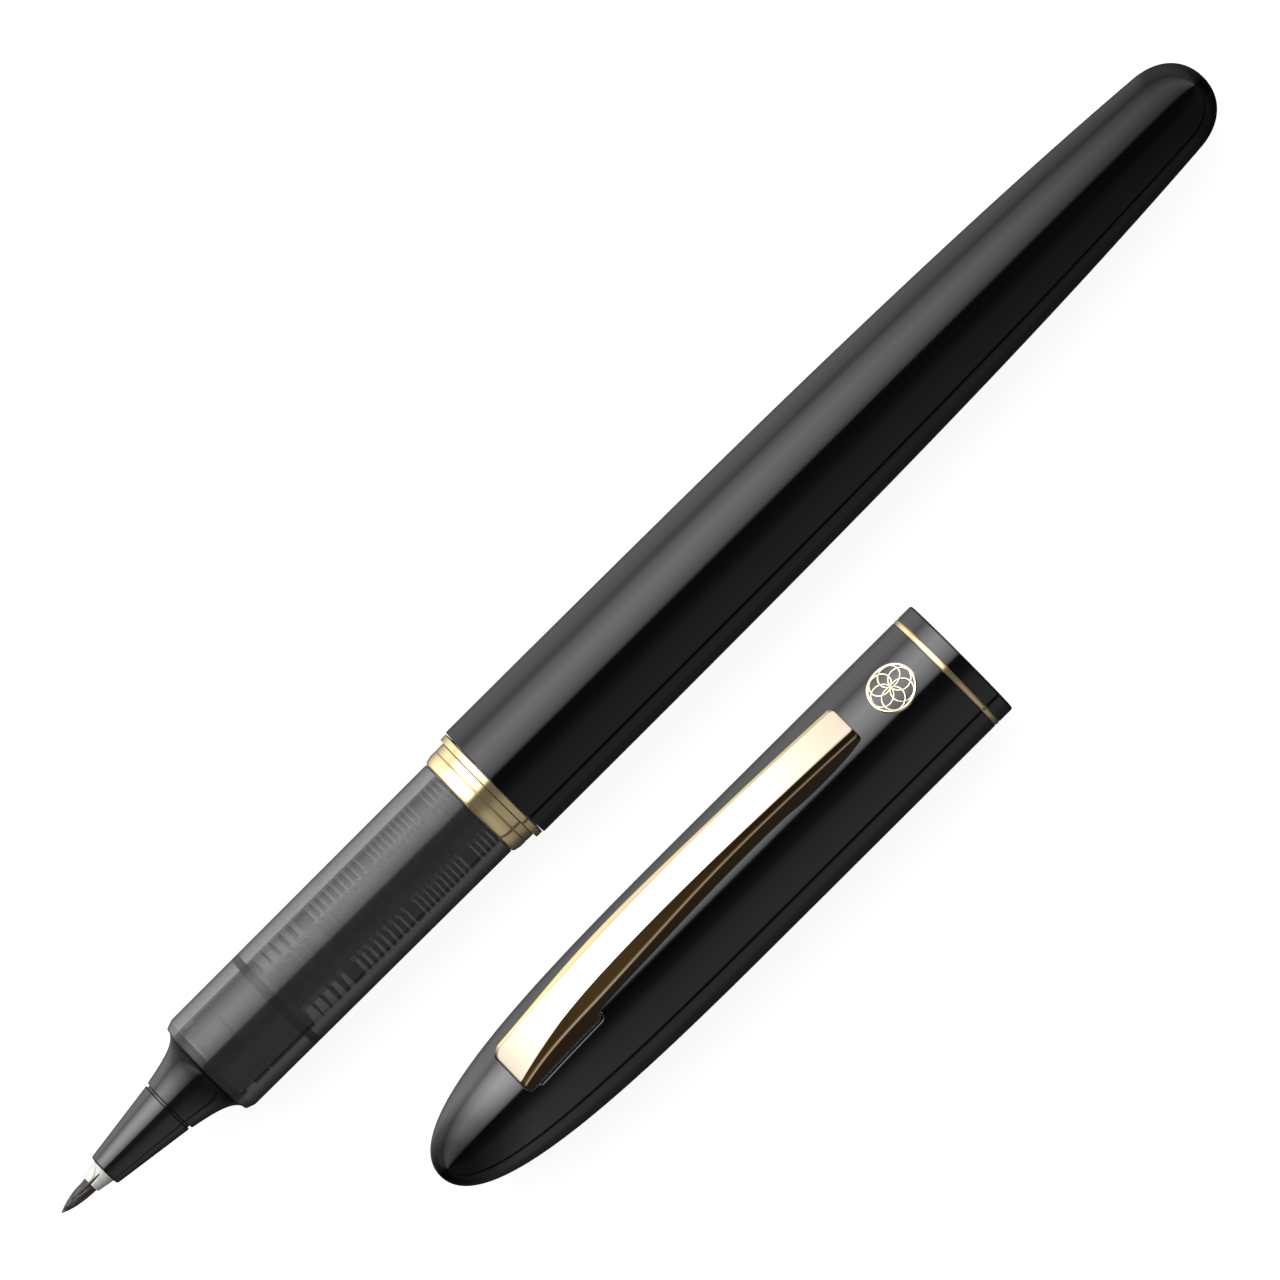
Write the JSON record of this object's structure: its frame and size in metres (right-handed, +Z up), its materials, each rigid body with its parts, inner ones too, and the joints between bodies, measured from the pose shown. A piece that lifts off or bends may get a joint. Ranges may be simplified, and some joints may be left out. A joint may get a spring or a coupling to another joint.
{
  "type": "capped fibre-tip pen",
  "caption": "Uncapped fibre-tip pen with a clear smoke grip over an ink comb, gold collar and tapering black barrel, its clip cap lying parallel beside it.",
  "frame": {"origin": "middle of the pair's footprint, on the surface they lie on", "axes": "+X from the nib to the barrel's end, +Y from the cap to the pen, +Z up"},
  "size_m": [0.1342, 0.032, 0.0151],
  "materials": {
    "inked_fibre": "matt fibre with lengthwise grooves, soaked in black ink",
    "pale_plastic": "off-white, slightly satin",
    "black_gloss": "moulded glossy black",
    "smoke_clear": "clear smoke-grey, glossy",
    "comb_plastic": "dark moulded comb, satin",
    "seal_rubber": "matt black",
    "gold_plate": "polished gold plate",
    "brass": "machined",
    "steel": "bright",
    "cartridge_plastic": "clear with black ink behind it",
    "black_lacquer": "deep black, high gloss"
  },
  "bodies": {
    "front": {"nib": "inked_fibre", "nib_holder": "pale_plastic", "tip_cone": "black_gloss", "front_housing": "black_gloss", "grip": "smoke_clear", "collector": "comb_plastic", "collector_seal": "seal_rubber", "feed_core": "inked_fibre", "feed_nipple": "pale_plastic", "collar": "gold_plate"},
    "mouth_ring": {"mouth_ring": "gold_plate"},
    "barrel": {"barrel": "black_lacquer", "barrel_insert": "brass"},
    "cartridge": {"cartridge": "cartridge_plastic"},
    "seal_ball": {"seal_ball": "steel"},
    "cap": {"cap_shell": "black_lacquer", "inner_cap": "pale_plastic", "cap_ring": "gold_plate", "cap_lip_ring": "black_lacquer", "emblem": "gold_plate", "clip_anchor": "steel"},
    "clip": {"clip": "gold_plate"}
  },
  "joints": [
    {"name": "barrel_turn", "type": "hinge", "parent": "mouth_ring", "child": "barrel", "pos_m": [-0.01615, 0.01013, 0.00582], "axis": [1, 0, 0], "range_deg": [0, 450]},
    {"name": "barrel_back_off", "type": "slide", "parent": "front", "child": "mouth_ring", "axis": [1, 0, 0], "range_m": [0, 0.006]},
    {"name": "cartridge_pull", "type": "slide", "parent": "front", "child": "cartridge", "axis": [1, 0, 0], "range_m": [0, 0.008]},
    {"name": "ball_roll", "type": "slide", "parent": "cartridge", "child": "seal_ball", "axis": [1, 0, 0], "range_m": [0, 0.035]},
    {"name": "cap_draw", "type": "slide", "parent": "front", "child": "cap", "axis": [-1, 0, 0], "range_m": [0, 0.0875]},
    {"name": "clip_flex", "type": "hinge", "parent": "cap", "child": "clip", "pos_m": [-0.03175, -0.00803, 0.01021], "axis": [0, -0.91, 0.4147], "range_deg": [0, 4], "stiffness_Nm_per_rad": 0.2}
  ],
  "couplings": [
    {"joint": "barrel_back_off", "follows": "barrel_turn", "m_per_rad": 0.00076394}
  ]
}
